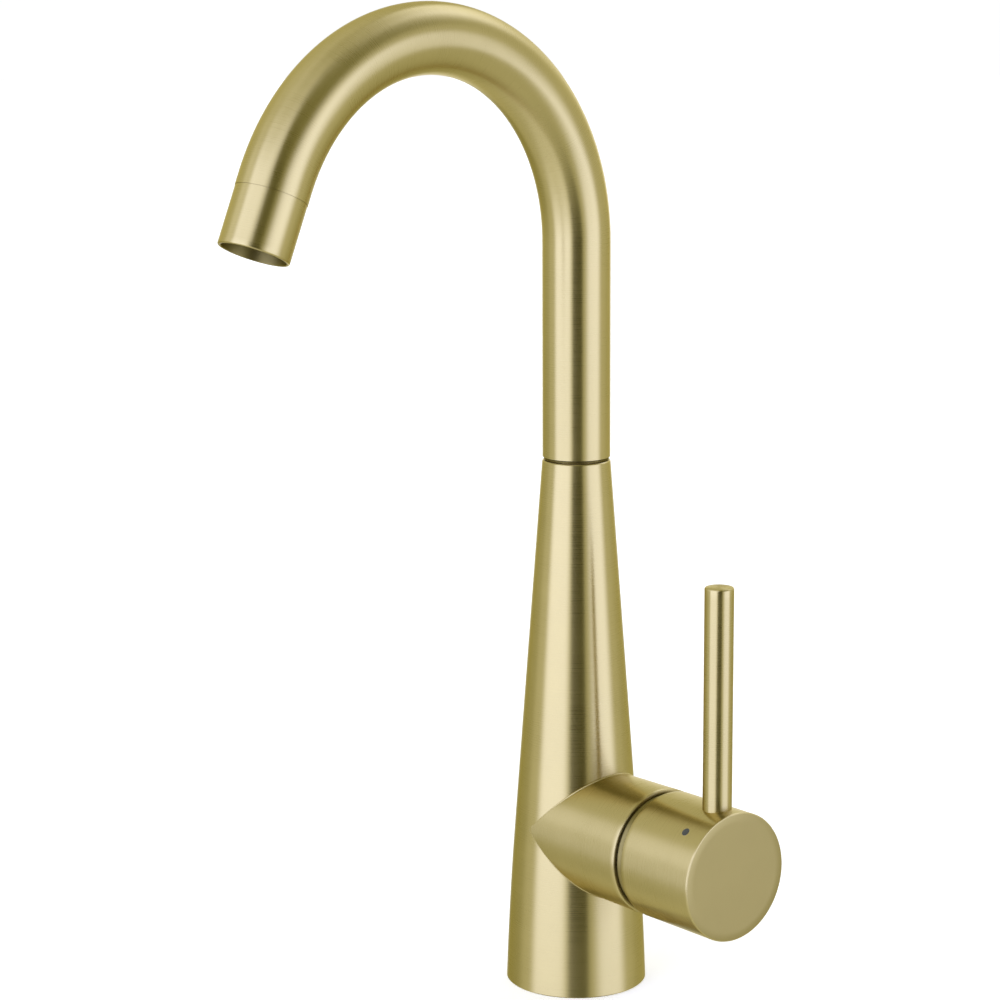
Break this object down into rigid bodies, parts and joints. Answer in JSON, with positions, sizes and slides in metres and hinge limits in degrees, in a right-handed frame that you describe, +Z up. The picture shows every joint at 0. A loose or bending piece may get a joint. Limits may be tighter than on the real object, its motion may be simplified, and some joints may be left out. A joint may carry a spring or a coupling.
{
  "type": "pull-down kitchen faucet",
  "caption": "Brushed gold gooseneck faucet with a tapered body, side valve with an upright rod lever, swivelling spout and pull-down spout end on a hose.",
  "frame": {"origin": "centre of the body's foot, on the top face of the worktop", "axes": "+Z up; the valve and its lever stand out towards +X; the spout reaches towards -Y, swivelled 6 degrees towards the lever"},
  "size_m": [0.1155, 0.1931, 0.4725],
  "materials": {
    "brushed_gold": "satin brushed gold coating on brass, brushed around the turned parts",
    "inner_brass": "machined, uncoated",
    "stainless_steel": "plain",
    "rubber": "matte",
    "black_plastic": "moulded",
    "grey_plastic": "moulded",
    "white_ceramic": null,
    "braided_hose": "nylon braid over a plastic hose",
    "blue_enamel": "small dark blue index plug"
  },
  "bodies": {
    "body": {"body_shell": "brushed_gold", "base_gasket": "rubber", "mounting_shank": "inner_brass", "deck_rubber_washer": "rubber", "deck_steel_washer": "stainless_steel", "mounting_nut": "inner_brass", "clamp_screw_1": "stainless_steel", "clamp_screw_2": "stainless_steel", "hot_inlet_tube": "inner_brass", "cold_inlet_tube": "inner_brass", "mixed_outlet_tube": "inner_brass", "hose_lower": "braided_hose", "cartridge_body": "grey_plastic", "seat_seal_hot": "rubber", "seat_seal_cold": "rubber", "seat_seal_outlet": "rubber", "fixed_ceramic_disc": "white_ceramic", "cartridge_retaining_nut": "inner_brass", "bonnet_dome": "brushed_gold", "swivel_stop_screw": "stainless_steel"},
    "spout": {"spout_tube": "brushed_gold", "spout_stem": "inner_brass", "spout_bearing_washer": "inner_brass", "stem_oring_upper": "rubber", "stem_oring_lower": "rubber", "docking_sleeve": "black_plastic", "hose_upper": "braided_hose"},
    "nozzle": {"nozzle_shell": "brushed_gold", "nozzle_shank": "black_plastic", "nozzle_oring": "rubber", "aerator_housing": "black_plastic", "aerator_insert": "black_plastic", "hose_nut": "stainless_steel", "check_valve": "grey_plastic"},
    "temperature_carrier": {"cartridge_rotor": "grey_plastic", "pivot_pin": "stainless_steel"},
    "flow_disc": {"moving_ceramic_disc": "white_ceramic"},
    "handle": {"cartridge_stem": "inner_brass", "handle_cap": "brushed_gold", "handle_rod": "brushed_gold", "handle_set_screw": "stainless_steel", "index_plug": "blue_enamel"}
  },
  "joints": [
    {"name": "spout_swivel", "type": "hinge", "parent": "body", "child": "spout", "pos_m": [0, 0, 0.1996], "axis": [0, 0, 1], "range_deg": [-75, 75]},
    {"name": "nozzle_pull", "type": "slide", "parent": "spout", "child": "nozzle", "axis": [0.0418, -0.3982, -0.9164], "range_m": [0, 0.3], "stiffness_N_per_m": 5, "springref_m": -0.6},
    {"name": "handle_temperature", "type": "hinge", "parent": "body", "child": "temperature_carrier", "pos_m": [0.0344, 0, 0.0603], "axis": [1, 0, 0], "range_deg": [-45, 45]},
    {"name": "handle_flow", "type": "hinge", "parent": "temperature_carrier", "child": "handle", "pos_m": [0.0344, 0, 0.0603], "axis": [0, 1, 0], "range_deg": [0, 20]},
    {"name": "flow_disc_slide", "type": "slide", "parent": "temperature_carrier", "child": "flow_disc", "axis": [0, 0, 1], "range_m": [0, 0.0026]}
  ],
  "couplings": [
    {"joint": "flow_disc_slide", "follows": "handle_flow", "m_per_rad": 0.00735}
  ]
}
